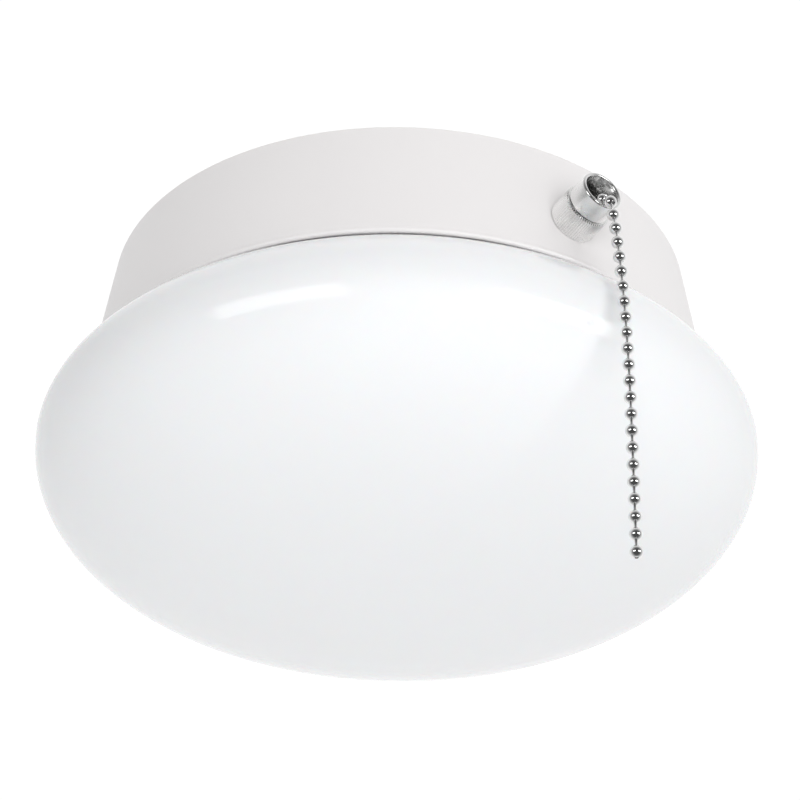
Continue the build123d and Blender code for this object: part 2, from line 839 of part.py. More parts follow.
def make_knurled_nut():
    """Round nut with a straight knurl and a smooth chamfered front."""
    plain_band = 0.9
    with BuildPart() as nut:
        with BuildSketch(switch_seat.offset(slip_gap)):
            Circle(knurled_nut_radius)
        extrude(amount=knurled_nut_height)
        chamfer(nut.edges().filter_by(GeomType.CIRCLE), 0.4)
        with BuildSketch(switch_seat.offset(slip_gap)):
            Circle(thread_radius + slip_gap)
        extrude(amount=knurled_nut_height, mode=Mode.SUBTRACT)
        with BuildSketch(switch_seat.offset(slip_gap + plain_band)):
            with PolarLocations(knurled_nut_radius, knurl_count):
                Rectangle(2 * knurl_depth, 2 * knurl_depth, rotation=45)
        extrude(amount=knurled_nut_height - 2 * plain_band, mode=Mode.SUBTRACT)
    save(nut.part, "knurled_nut")


def make_inner_hardware():
    """Tooth lock washer and hexagon nut that clamp the bushing from inside."""
    with BuildPart() as washer:
        with BuildSketch(switch_seat.offset(washer_seat)):
            Circle(washer_radius)
            with PolarLocations(washer_radius, washer_tooth_count):
                Rectangle(2 * washer_tooth_depth, washer_tooth_depth, mode=Mode.SUBTRACT)
            Circle(thread_radius + slip_gap, mode=Mode.SUBTRACT)
        extrude(amount=-washer_thickness)
    save(washer.part, "lock_washer")

    with BuildPart() as hex_nut:
        with BuildSketch(switch_seat.offset(washer_seat - washer_thickness - slip_gap)):
            RegularPolygon(hex_nut_size / 2, 6, major_radius=False, rotation=30)
            Circle(thread_radius + slip_gap, mode=Mode.SUBTRACT)
        extrude(amount=-hex_nut_height)
    save(hex_nut.part, "inner_hex_nut")


def case_outline(inset):
    """Case outline in the upright plane, moved in by inset; its front is slanted."""
    front_x, front_z = seat_to_radial(case_front_along - inset, 0)
    slope = math.tan(math.radians(wall_tilt))
    top = case_top_z - inset
    bottom = case_bottom_z + inset
    back = case_back_radius + inset
    return [
        (back, bottom),
        (front_x + (front_z - bottom) * slope, bottom),
        (front_x - (top - front_z) * slope, top),
        (back, top),
    ]


def rivet_places():
    """(radius, z) of the three case rivets."""
    inset = case_wall + rivet_radius + part_gap
    return [
        (case_back_radius + inset, low_rivet_z),
        (lever_x + rivet_radius, low_rivet_z),
        (rotor_x + rotor_radius, case_top_z - inset + 0.2),
    ]


def make_switch_case():
    """Moulded case, open on one side, and the plate that closes it."""
    half = case_width / 2
    cover_at = half - case_wall
    tag_half = contact_height / 2
    with BuildPart() as case:
        with BuildSketch(radial_plane.offset(-half)):
            with BuildLine():
                Polyline(*case_outline(0), close=True)
            make_face()
        extrude(amount=case_width - case_wall - slip_gap)
        fillet(case.edges().filter_by(Axis(radial_plane.origin, radial_plane.z_dir)), 1.0)
        with BuildSketch(radial_plane.offset(-half + case_wall)):
            with BuildLine():
                Polyline(*case_outline(case_wall), close=True)
            make_face()
        extrude(amount=case_width, mode=Mode.SUBTRACT)
        with BuildSketch(switch_seat.offset(case_front_along + 1)):
            Circle(thread_radius + slip_gap)
        extrude(amount=-case_wall - 3, mode=Mode.SUBTRACT)
        with BuildSketch(radial_plane.offset(-half - 1)):
            for x, z in rivet_places():
                with Locations((x, z)):
                    Circle(rivet_radius + slip_gap)
        extrude(amount=case_wall + 2, mode=Mode.SUBTRACT)
        with BuildSketch(radial_plane.offset(contact_across() - slip_gap)):
            for z in contact_levels():
                with Locations((case_back_radius, z)):
                    Rectangle(4 * case_wall, 2 * (tag_half + slip_gap))
        extrude(amount=strip_thickness + 2 * slip_gap, mode=Mode.SUBTRACT)
        with BuildSketch(radial_plane.offset(-half + case_wall / 2)):
            with Locations((lever_x, lever_pivot_z), (rotor_x, rotor_z)):
                Circle(pin_radius + slip_gap)
        extrude(amount=case_wall, mode=Mode.SUBTRACT)
    save(case.part, "switch_case")

    with BuildPart() as cover:
        with BuildSketch(radial_plane.offset(cover_at)):
            with BuildLine():
                Polyline(*case_outline(0), close=True)
            make_face()
            for x, z in rivet_places():
                with Locations((x, z)):
                    Circle(rivet_radius + slip_gap, mode=Mode.SUBTRACT)
        extrude(amount=case_wall)
        fillet(cover.edges().filter_by(Axis(radial_plane.origin, radial_plane.z_dir)), 1.0)
        with BuildSketch(radial_plane.offset(cover_at)):
            with Locations((lever_x, lever_pivot_z), (rotor_x, rotor_z)):
                Circle(pin_radius + slip_gap)
        extrude(amount=case_wall / 2, mode=Mode.SUBTRACT)
    save(cover.part, "switch_cover")


def make_rivets():
    """Rivets through the case and its cover."""
    half = case_width / 2
    with BuildPart() as rivets:
        with BuildSketch(radial_plane.offset(-half - slip_gap)):
            for x, z in rivet_places():
                with Locations((x, z)):
                    Circle(rivet_radius)
        extrude(amount=case_width + 2 * slip_gap)
        for start, direction in ((-half - slip_gap, -1), (half + slip_gap, 1)):
            with BuildSketch(radial_plane.offset(start)):
                for x, z in rivet_places():
                    with Locations((x, z)):
                        Circle(rivet_head_radius)
            extrude(amount=direction * rivet_head_height)
    save(rivets.part, "case_rivets")


def make_pins():
    """Pivot pins of the lever and the rotor, held at both ends by the case."""
    reach = case_width / 2 - case_wall / 2 - slip_gap
    for name, x, z in (("lever_pin", lever_x, lever_pivot_z), ("rotor_pin", rotor_x, rotor_z)):
        with BuildPart() as pin:
            with BuildSketch(radial_plane.offset(-reach)):
                with Locations((x, z)):
                    Circle(pin_radius)
            extrude(amount=2 * reach)
        save(pin.part, name)


def make_lever():
    """Pull lever: a hub on its pin and a forked blade that the chain pulls."""
    lean = math.radians(lever_rest_angle)
    blade_plane = Plane(
        origin=radial_point(lever_x, lever_pivot_z),
        x_dir=(math.cos(lean) * azimuth_sin, -math.cos(lean) * azimuth_cos, -math.sin(lean)),
        z_dir=radial_plane.z_dir,
    )
    with BuildPart() as lever:
        with BuildSketch(blade_plane.offset(-lever_width / 2)):
            Circle(lever_hub_radius)
            Rectangle(lever_thickness, lever_length, align=(Align.CENTER, Align.MAX))
        extrude(amount=lever_width)
        with BuildSketch(blade_plane.offset(-lever_width)):
            Circle(pin_radius + slip_gap)
        extrude(amount=2 * lever_width, mode=Mode.SUBTRACT)
        with BuildSketch(blade_plane.offset(-lever_slot_width / 2)):
            with Locations((0, -lever_length)):
                Rectangle(4 * lever_thickness, 2 * lever_tip_reach + lever_slot_width)
        extrude(amount=lever_slot_width, mode=Mode.SUBTRACT)
    save(lever.part, "pull_lever")


def make_return_spring():
    """Torsion spring round the lever's pin, beside the hub."""
    start_across = lever_width / 2 + part_gap
    coil_height = spring_turns * spring_pitch
    start = radial_point(lever_x, lever_pivot_z, start_across)
    with BuildPart() as spring:
        with BuildLine():
            coil = Helix(pitch=spring_pitch, height=coil_height, radius=spring_coil_radius,
                         center=start, direction=radial_plane.z_dir)
        with BuildSketch(Plane(origin=coil @ 0, z_dir=coil % 0)):
            Circle(spring_wire_radius)
        sweep(path=coil)
    save(spring.part, "return_spring")


def contact_across():
    """Where the fixed contact strips start, across the case."""
    return rotor_width / 2 + strip_thickness + part_gap


def contact_levels():
    """Heights of the line and load contacts, over and under the rotor."""
    reach = bridge_half_length
    return [rotor_z + reach, rotor_z - reach]


def make_rotor():
    """Ratchet rotor and the copper bridge that it carries."""
    with BuildPart() as rotor:
        with BuildSketch(radial_plane.offset(-rotor_width / 2)):
            with Locations((rotor_x, rotor_z)):
                Circle(rotor_radius)
                with PolarLocations(rotor_radius, rotor_tooth_count):
                    Rectangle(2 * rotor_tooth_depth, 2 * rotor_tooth_depth, mode=Mode.SUBTRACT)
        extrude(amount=rotor_width)
        with BuildSketch(radial_plane.offset(-rotor_width)):
            with Locations((rotor_x, rotor_z)):
                Circle(rotor_hub_radius)
        extrude(amount=rotor_width)
        with BuildSketch(radial_plane.offset(-2 * rotor_width)):
            with Locations((rotor_x, rotor_z)):
                Circle(pin_radius + slip_gap)
        extrude(amount=4 * rotor_width, mode=Mode.SUBTRACT)
    save(rotor.part, "ratchet_rotor")

    with BuildPart() as bridge:
        with BuildSketch(radial_plane.offset(rotor_width / 2)):
            with Locations((rotor_x, rotor_z)):
                SlotOverall(2 * bridge_half_length, bridge_width, rotation=90)
                Circle(pin_radius + slip_gap, mode=Mode.SUBTRACT)
        extrude(amount=strip_thickness)
    save(bridge.part, "contact_bridge")


def make_fixed_contacts():
    """Line and load contact strips with their solder tags outside the case."""
    for name, z in zip(("line_contact", "load_contact"), contact_levels()):
        with BuildPart() as strip:
            with BuildSketch(radial_plane.offset(contact_across())):
                with Locations((case_back_radius - contact_tag_reach, z)):
                    Rectangle(rotor_x - case_back_radius + contact_tag_reach + 1.2, contact_height,
                              align=(Align.MIN, Align.CENTER))
                with Locations((case_back_radius - contact_tag_reach + 1.2, z)):
                    Circle(0.5, mode=Mode.SUBTRACT)
            extrude(amount=strip_thickness)
            fillet(strip.edges().filter_by(Axis(radial_plane.origin, radial_plane.z_dir)), 0.5)
        save(strip.part, name)


# ---------------------------------------------------------------- chain

def add_bead(x, z):
    """Add one ball of the chain to the part being built."""
    with Locations(radial_point(x, z)):
        Sphere(bead_radius)


def make_inner_chain():
    """Level beads in the bushing and case, joined by their link wires."""
    last_x = bend_x - inner_bead_count * bead_pitch
    with BuildPart() as inner:
        for step in range(1, inner_bead_count + 1):
            add_bead(bend_x - step * bead_pitch, chain_z)
        wire_start = Plane(origin=radial_point(last_x, chain_z), z_dir=radial_plane.x_dir)
        with BuildSketch(wire_start):
            Circle(link_radius)
        extrude(amount=(inner_bead_count - 1) * bead_pitch)
    save(inner.part, "chain_inner")


def make_loose_beads():
    """The bead at the top of the bend, the bead on the lip and the one below it."""
    beads = (
        ("chain_bend_bead", bend_x, chain_z),
        ("chain_lip_bead", lip_bead_x, lip_bead_z),
        ("chain_top_bead", lip_bead_x + bead_pitch * slant_sin, lip_bead_z - bead_pitch * slant_cos),
    )
    for name, x, z in beads:
        with BuildPart() as bead:
            add_bead(x, z)
        save(bead.part, name)


# Route of the hanging chain below its top bead: length and slant of each run.
chain_runs = ((10.0, 9.0), (24.0, 4.0), (24.0, 1.2), (0.0, 0.0))


def chain_route():
    """Route from just below the top bead to the end of the last bead."""
    start_along = bead_pitch + bead_radius + part_gap
    total = chain_run_beads * bead_pitch - bead_pitch / 2 + bead_radius - part_gap + 1.0
    x = lip_bead_x + start_along * slant_sin
    z = lip_bead_z - start_along * slant_cos
    points = [(x, z)]
    left = total
    for length, slant in chain_runs:
        run = length if length > 0 else left
        x += run * math.sin(math.radians(slant))
        z -= run * math.cos(math.radians(slant))
        left -= run
        points.append((x, z))
    return points


def make_hanging_chain():
    """Envelope of the hanging chain: a tube of the beads' diameter."""
    route = chain_route()
    radii = []
    for before, corner, after in zip(route, route[1:], route[2:]):
        into = Vector(corner[0] - before[0], corner[1] - before[1])
        out = Vector(after[0] - corner[0], after[1] - corner[1])
        turn = math.radians(into.get_angle(out))
        radii.append(0.45 * min(into.length, out.length) / math.tan(turn / 2))
    print("hanging chain bend radii", [round(radius, 1) for radius in radii])
    with BuildPart() as chain:
        with BuildLine(radial_plane):
            path = FilletPolyline(*route, radius=radii)
        with BuildSketch(Plane(origin=path @ 0, z_dir=path % 0)):
            Circle(bead_radius)
        sweep(path=path)
    print("hanging chain length", round(path.length, 2), "end z", round(route[-1][1], 2))
    save(chain.part, "chain_run")


# ---------------------------------------------------------------- leads

led_lead_z = carrier_z + 8.0
driver_entry_z = carrier_z + 11.0
live_entry_x = 4.0
neutral_entry_y = 2.0


def make_lead(name, route, bend=4.0):
    """Insulated lead along straight runs joined by bends."""
    with BuildPart() as lead:
        with BuildLine():
            path = FilletPolyline(*route, radius=bend)
        with BuildSketch(Plane(origin=path @ 0, z_dir=path % 0)):
            Circle(lead_radius)
        sweep(path=path)
    save(lead.part, name)


def make_leads():
    """Leads between the terminal, the switch, the driver and the LED board."""
    live_x, neutral_x, ground_lead_x = terminal_poles()
    terminal_face = terminal_y - terminal_width / 2
    terminal_lead_z = dish_under_z - terminal_height / 2
    line_z, load_z = contact_levels()
    tag_x = case_back_radius - contact_tag_reach
    solder_across = contact_across() + strip_thickness + lead_radius + slip_gap
    driver_edge_y = driver_y - driver_width / 2
    driver_edge_x = driver_x + driver_length / 2

    make_lead("lead_live_in", [
        (live_x, terminal_face + solder_reach, terminal_lead_z),
        (live_x, terminal_face - 10, terminal_lead_z - 1),
        (20, -14, terminal_lead_z - 2),
        radial_point(tag_x - 14, line_z, solder_across),
        radial_point(tag_x + 2, line_z, solder_across),
    ])
    make_lead("lead_live_out", [
        (live_entry_x, driver_edge_y + 3, driver_entry_z),
        (live_entry_x, driver_edge_y - 9, driver_entry_z),
        radial_point(tag_x - 15, load_z, solder_across),
        radial_point(tag_x + 2, load_z, solder_across),
    ])
    make_lead("lead_neutral", [
        (neutral_x, terminal_face + solder_reach, terminal_lead_z),
        (neutral_x, neutral_entry_y + 2, terminal_lead_z),
        (neutral_x - 1, neutral_entry_y, driver_entry_z),
        (driver_edge_x - 3, neutral_entry_y, driver_entry_z),
    ], bend=3.0)
    make_lead("lead_ground", [
        (ground_lead_x, terminal_face + solder_reach, terminal_lead_z),
        (ground_lead_x, terminal_face - 8, terminal_lead_z),
        (ground_x, ground_y + 14, dish_under_z - sheet - lead_radius - 2 * slip_gap),
        (ground_x, ground_y + ground_head_radius + 1.0, dish_under_z - sheet - lead_radius - 2 * slip_gap),
    ])
    for name, (x, y) in zip(("led_lead_plus", "led_lead_minus"), led_lead_places()):
        make_lead(name, [
            (x, driver_edge_y + 3, led_lead_z),
            (x, y, led_lead_z),
            (x, y, board_under_z - 0.4),
        ])


# ---------------------------------------------------------------- build everything

def main():
    """Make every piece of the light."""
    screw_places = [(-pan_screw_spacing / 2, 0), (pan_screw_spacing / 2, 0)]
    make_gasket()
    make_crossbar()
    make_pan()
    make_screws("pan_screws", screw_places, dish_under_z - slip_gap, pan_screw_radius,
                -dish_under_z - 0.2, pan_screw_head_radius, pan_screw_head_height)
    make_screws("ground_screw", [(ground_x, ground_y)], dish_under_z - sheet - 2 * slip_gap,
                ground_screw_radius, 2 * sheet + 1.2, ground_head_radius, ground_head_height)
    make_grommet()
    make_terminal()
    make_ground_ring()
    make_posts()
    make_carrier()
    make_insulation()
    make_led_board()
    make_leds()
    make_screws("board_screws", circle_places(post_circle_radius, post_count, post_start_angle),
                board_under_z - slip_gap, post_screw_radius, post_screw_length,
                post_screw_head_radius, post_screw_head_height)
    make_driver_tray()
    make_driver_cover()
    make_driver_board()
    make_driver_components()
    make_screws("driver_screws", driver_screw_places(), carrier_under_z - slip_gap, driver_screw_radius,
                carrier_thickness + 4.0, driver_screw_head_radius, driver_screw_head_height)
    make_lens()
    make_lens_clips()
    make_bushing()
    make_knurled_nut()
    make_inner_hardware()
    make_switch_case()
    make_rivets()
    make_pins()
    make_lever()
    make_return_spring()
    make_rotor()
    make_fixed_contacts()
    make_inner_chain()
    make_loose_beads()
    make_hanging_chain()
    make_leads()


main()
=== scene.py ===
import math
import bmesh
import bpy
from mathutils import Matrix, Vector


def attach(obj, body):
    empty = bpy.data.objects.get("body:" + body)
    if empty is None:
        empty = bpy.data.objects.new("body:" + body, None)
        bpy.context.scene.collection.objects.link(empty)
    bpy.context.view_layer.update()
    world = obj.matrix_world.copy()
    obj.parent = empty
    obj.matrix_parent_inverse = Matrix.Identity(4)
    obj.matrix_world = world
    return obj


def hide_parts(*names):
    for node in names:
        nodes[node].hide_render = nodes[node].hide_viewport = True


# Looks of a round ceiling light with an opal diffuser and a pull-chain switch.
# Lengths are written in millimetres and turned into metres by MM.

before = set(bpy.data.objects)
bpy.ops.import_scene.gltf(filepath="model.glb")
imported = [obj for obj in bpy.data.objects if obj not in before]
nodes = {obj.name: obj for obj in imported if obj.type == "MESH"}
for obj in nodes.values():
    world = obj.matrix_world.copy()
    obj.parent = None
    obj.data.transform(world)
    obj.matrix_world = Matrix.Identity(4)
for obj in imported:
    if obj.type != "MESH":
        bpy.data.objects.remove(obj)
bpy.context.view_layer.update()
MM = 0.001


# ---------------------------------------------------------------- sizes shared with the CAD

# Base pan
pan_top_z = -0.5
pan_top_radius = 72.5
pan_hem_line_radius = 77.6
hem_z = -34.2
hem_radius = 0.8
sheet = 0.8
pan_corner_radius = 0.7
dish_foot_radius = 1.2
dish_rim_radius = 1.6
inner_rim_radius = 0.9
inner_foot_radius = 1.9
hole_gap = 0.2
dish_radius = 57.0
dish_depth = 3.0
pan_screw_spacing = 92.0
pan_screw_slot_radius = 2.2
pan_screw_slot_half = 3.0
wire_entry_y = 24.0
grommet_outer_radius = 7.0
ground_place = (38.0, -16.0)
ground_screw_radius = 1.85
post_circle_radius = 50.0
post_count = 3
post_start_angle = 90.0
post_hole_radius = 1.55

# Foam ring
gasket_outer_radius = 70.0
gasket_inner_radius = 61.0
gasket_edge_radius = 0.15

# Lens
lens_radius = 89.0
lens_equator_z = -50.5
lens_lower_height = 34.5
lens_upper_height = 29.5
lens_bowl_fullness = 0.61
lens_wall = 1.8
lens_shoulder_radius = 78.0
lens_shoulder_edge = 0.7
lens_neck_radius = 73.6
lens_neck_top_z = -30.3
lens_neck_edge = 0.3
lug_reach = 2.0
lug_height = 1.5
lug_edge = 0.3
lug_angle = 16.0
lug_start_angle = 30.0
lug_count = 3

# Switch
switch_azimuth = math.radians(32.2)
switch_z = -22.0
thread_radius = 4.5
thread_depth = 0.35
thread_pitch = 0.94
bushing_bore_radius = 3.6
bushing_inner_end = 6.6
nut_radius = 6.0
nut_height = 6.7
nut_chamfer = 0.3
knurl_count = 60
knurl_depth = 0.3
mouth_reach = 12.6
lip_centre_radius = 4.9
lip_radius = 0.5
flare_length = 4.2
flare_ease_in = 1.2
throat_swell = 0.35
throat_depth = 1.0
collar_chamfer = 0.25
slip_gap = 0.05

# Chain
bead_radius = 1.5
bead_pitch = 4.35
link_radius = 0.42
link_waist = 0.88
link_neck = 0.3
link_sink = 0.25
link_hole_gap = 0.1
bead_lip_gap = 0.1
chain_slant = math.radians(12.0)
inner_bead_count = 6
chain_run_beads = 21
chain_start_gap = 1.9
chain_runs = ((10.0, 9.0), (24.0, 4.0), (24.0, 1.2))
chain_last_run = 33.275


# ---------------------------------------------------------------- worked-out sizes

wall_tilt = math.atan2(pan_hem_line_radius - pan_top_radius, pan_top_z - hem_z)
wall_across = sheet / math.cos(wall_tilt)


def pan_wall_radius(z):
    """Outer radius of the pan's slanted wall at height z."""
    share = (pan_top_z - z) / (pan_top_z - hem_z)
    return pan_top_radius + (pan_hem_line_radius - pan_top_radius) * share


seat_radius = pan_wall_radius(switch_z)
outward = Vector((math.sin(switch_azimuth), -math.cos(switch_azimuth), 0))
bushing_axis = math.cos(wall_tilt) * outward + Vector((0, 0, math.sin(wall_tilt)))
seat_origin = seat_radius * outward + Vector((0, 0, switch_z))


def axis_frame(origin, axis):
    """Placing matrix whose Z runs along axis from origin."""
    turn = axis.to_track_quat("Z", "Y").to_matrix().to_4x4()
    return Matrix.Translation(origin) @ turn


def radial_point(radius, z):
    """Point of the upright plane through the light's axis and the switch."""
    return radius * outward + Vector((0, 0, z))


# The chain turns over the lip of the mouth and goes down along its slant.
turn_angle = math.pi / 2 - chain_slant
bend_radius = bead_pitch / turn_angle
lip_along = mouth_reach - lip_radius
lip_lead = bend_radius - bead_radius - lip_radius - bead_lip_gap
lip_half_way = chain_slant + turn_angle / 2
bend_x = (seat_radius + lip_along * math.cos(wall_tilt) + lip_centre_radius * math.sin(wall_tilt)
          - lip_lead * math.cos(lip_half_way))
bend_z = (switch_z + lip_along * math.sin(wall_tilt) - lip_centre_radius * math.cos(wall_tilt)
          - lip_lead * math.sin(lip_half_way))
chain_z = bend_z + bend_radius
lip_bead_x = bend_x + bend_radius * math.cos(chain_slant)
lip_bead_z = bend_z + bend_radius * math.sin(chain_slant)
slant = Vector((math.sin(chain_slant), -math.cos(chain_slant)))


# ---------------------------------------------------------------- outline helpers

def arc(centre, radius, start, end, steps):
    """Points of an arc; the angles are in degrees and both ends are included."""
    points = []
    for step in range(steps + 1):
        angle = math.radians(start + (end - start) * step / steps)
        points.append((centre[0] + radius * math.cos(angle), centre[1] + radius * math.sin(angle)))
    return points


def soft_corner(before, corner, after, radius, steps=5):
    """Points of a rounded corner between two straight sides."""
    corner = Vector(corner)
    into = (Vector(before) - corner).normalized()
    out = (Vector(after) - corner).normalized()
    half = into.angle(out) / 2
    reach = radius / math.tan(half)
    centre = corner + (into + out).normalized() * radius / math.sin(half)
    first = corner + into * reach - centre
    sweep = (corner + out * reach - centre).to_2d()
    turn = first.angle_signed(sweep)
    points = []
    for step in range(steps + 1):
        spot = first.copy()
        spot.rotate(Matrix.Rotation(-turn * step / steps, 2))
        points.append(tuple(centre + spot))
    return points


def softened(outline, radii, steps=5):
    """Closed outline with the corners in radii, index to radius, made round."""
    points = []
    count = len(outline)
    for index, corner in enumerate(outline):
        radius = radii.get(index, 0)
        if radius:
            before = outline[index - 1]
            after = outline[(index + 1) % count]
            points += soft_corner(before, corner, after, radius, steps)
        else:
            points.append(corner)
    return points


def bezier(start, first, second, end, steps):
    """Points of a cubic curve."""
    points = []
    for step in range(steps + 1):
        t = step / steps
        s = 1 - t
        points.append(tuple(
            s ** 3 * start[k] + 3 * s * s * t * first[k] + 3 * s * t * t * second[k] + t ** 3 * end[k]
            for k in (0, 1)))
    return points


# ---------------------------------------------------------------- mesh helpers

def mark_sharp(bm, degrees=32.0):
    """Smooth faces that meet in sharp edges where they turn by more than the angle."""
    for face in bm.faces:
        face.smooth = True
    for edge in bm.edges:
        if len(edge.link_faces) == 2:
            edge.smooth = edge.calc_face_angle(0) < math.radians(degrees)


def finish_piece(bm, name, slot_name, body, *replaced):
    """Turn a finished bmesh into a piece with its material, body and CAD nodes."""
    bmesh.ops.recalc_face_normals(bm, faces=bm.faces)
    mark_sharp(bm)
    mesh = bpy.data.meshes.new(name)
    bm.to_mesh(mesh)
    bm.free()
    piece = bpy.data.objects.new(name, mesh)
    bpy.context.scene.collection.objects.link(piece)
    piece.data.materials.append(materials[slot_name])
    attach(piece, body)
    if replaced:
        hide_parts(*replaced)
    return piece


def add_turned(bm, outline, segments, place=None, relief=None):
    """Add a turned solid; outline is a closed line of (radius, height) points in millimetres.
    relief(radius, height, angle), if given, is the radius that a point has at an angle."""
    place = place or Matrix.Identity(4)
    rings = []
    for index, (radius, height) in enumerate(outline):
        if radius < 1e-6:
            rings.append([bm.verts.new(place @ Vector((0, 0, height)) * MM)])
            continue
        ring = []
        for step in range(segments):
            angle = 2 * math.pi * step / segments
            reach = radius if relief is None else relief(radius, height, angle)
            spot = Vector((reach * math.cos(angle), reach * math.sin(angle), height))
            ring.append(bm.verts.new(place @ spot * MM))
        rings.append(ring)
    for lower, upper in zip(rings, rings[1:] + rings[:1]):
        for step in range(segments):
            after = (step + 1) % segments
            corners = (lower[step % len(lower)], lower[after % len(lower)],
                       upper[after % len(upper)], upper[step % len(upper)])
            unique = list(dict.fromkeys(corners))
            if len(unique) > 2:
                bm.faces.new(unique)


def add_prism(bm, outline, low, high):
    """Add an upright prism over a closed outline of (x, y) points."""
    bottom = [bm.verts.new(Vector((x, y, low)) * MM) for x, y in outline]
    top = [bm.verts.new(Vector((x, y, high)) * MM) for x, y in outline]
    bm.faces.new(bottom)
    bm.faces.new(top)
    for index in range(len(outline)):
        after = (index + 1) % len(outline)
        bm.faces.new((bottom[index], bottom[after], top[after], top[index]))


def cut_away(bm, cutter):
    """Cut the solid of one bmesh out of another and return the result as a new bmesh."""
    objects = []
    for name, source in (("cut_body", bm), ("cut_tool", cutter)):
        bmesh.ops.recalc_face_normals(source, faces=source.faces)
        mesh = bpy.data.meshes.new(name)
        source.to_mesh(mesh)
        source.free()
        thing = bpy.data.objects.new(name, mesh)
        bpy.context.scene.collection.objects.link(thing)
        objects.append(thing)
    body, tool = objects
    cut = body.modifiers.new("cut", "BOOLEAN")
    cut.operation = "DIFFERENCE"
    cut.solver = "EXACT"
    cut.object = tool
    depsgraph = bpy.context.evaluated_depsgraph_get()
    result = bmesh.new()
    result.from_mesh(bpy.data.meshes.new_from_object(body.evaluated_get(depsgraph)))
    for thing in objects:
        bpy.data.objects.remove(thing)
    return result


# ---------------------------------------------------------------- materials

materials = {}


def tone(colour, factor):
    """Colour made lighter or darker, with its alpha."""
    return tuple(min(1.0, channel * factor) for channel in colour) + (1.0,)


def add_noise(tree, coordinates, per_metre, stretch=(1, 1, 1), detail=3.0):
    """Noise texture whose cells are 1 / per_metre metres wide, drawn out by stretch."""
    mapping = tree.nodes.new("ShaderNodeMapping")
    mapping.inputs["Scale"].default_value = [per_metre / factor for factor in stretch]
    noise = tree.nodes.new("ShaderNodeTexNoise")
    noise.inputs["Scale"].default_value = 1.0
    noise.inputs["Detail"].default_value = detail
    tree.links.new(coordinates, mapping.inputs["Vector"])
    tree.links.new(mapping.outputs["Vector"], noise.inputs["Vector"])
    return noise.outputs["Fac"]


def add_range(tree, value, low, high):
    """Map a noise value onto a range."""
    mapped = tree.nodes.new("ShaderNodeMapRange")
    mapped.inputs["From Min"].default_value = 0.3
    mapped.inputs["From Max"].default_value = 0.7
    mapped.inputs["To Min"].default_value = low
    mapped.inputs["To Max"].default_value = high
    tree.links.new(value, mapped.inputs["Value"])
    return mapped.outputs["Result"]


def make_material(name, colour, roughness, metallic=0.0, variation=0.06, patch=60.0,
                  grain=1500.0, grain_depth=0.01, grain_stretch=(1, 1, 1), rough_spread=0.08,
                  speckle=None, sockets=None):
    """Procedural finish: patchy colour, patchy roughness and a fine grain in the surface.
    patch and grain are noise cells per metre, grain_depth is in millimetres, and sockets
    holds constant values of the shader's own inputs."""
    material = bpy.data.materials.new(name)
    material.use_nodes = True
    tree = material.node_tree
    shader = tree.nodes["Principled BSDF"]
    coordinates = tree.nodes.new("ShaderNodeTexCoord").outputs["Object"]
    patches = add_noise(tree, coordinates, patch, detail=4.0)
    ramp = tree.nodes.new("ShaderNodeValToRGB")
    ramp.color_ramp.elements[0].position = 0.3
    ramp.color_ramp.elements[0].color = tone(colour, 1 - variation)
    ramp.color_ramp.elements[1].position = 0.7
    ramp.color_ramp.elements[1].color = tone(colour, 1 + variation)
    tree.links.new(patches, ramp.inputs["Fac"])
    base = ramp.outputs["Color"]
    grains = add_noise(tree, coordinates, grain, grain_stretch, detail=2.0)
    if speckle:
        dots = tree.nodes.new("ShaderNodeMapRange")
        dots.inputs["From Min"].default_value = 0.55
        dots.inputs["From Max"].default_value = 0.72
        tree.links.new(grains, dots.inputs["Value"])
        blend = tree.nodes.new("ShaderNodeMix")
        blend.data_type = "RGBA"
        blend.inputs["B"].default_value = tone(speckle, 1)
        tree.links.new(dots.outputs["Result"], blend.inputs["Factor"])
        tree.links.new(base, blend.inputs["A"])
        base = blend.outputs["Result"]
    tree.links.new(base, shader.inputs["Base Color"])
    spread = add_range(tree, patches, max(0.02, roughness - rough_spread), roughness + rough_spread)
    tree.links.new(spread, shader.inputs["Roughness"])
    bump = tree.nodes.new("ShaderNodeBump")
    bump.inputs["Strength"].default_value = 1.0
    bump.inputs["Distance"].default_value = grain_depth * MM
    tree.links.new(grains, bump.inputs["Height"])
    tree.links.new(bump.outputs["Normal"], shader.inputs["Normal"])
    shader.inputs["Metallic"].default_value = metallic
    for socket, value in (sockets or {}).items():
        shader.inputs[socket].default_value = value
    materials[name] = material
    return material


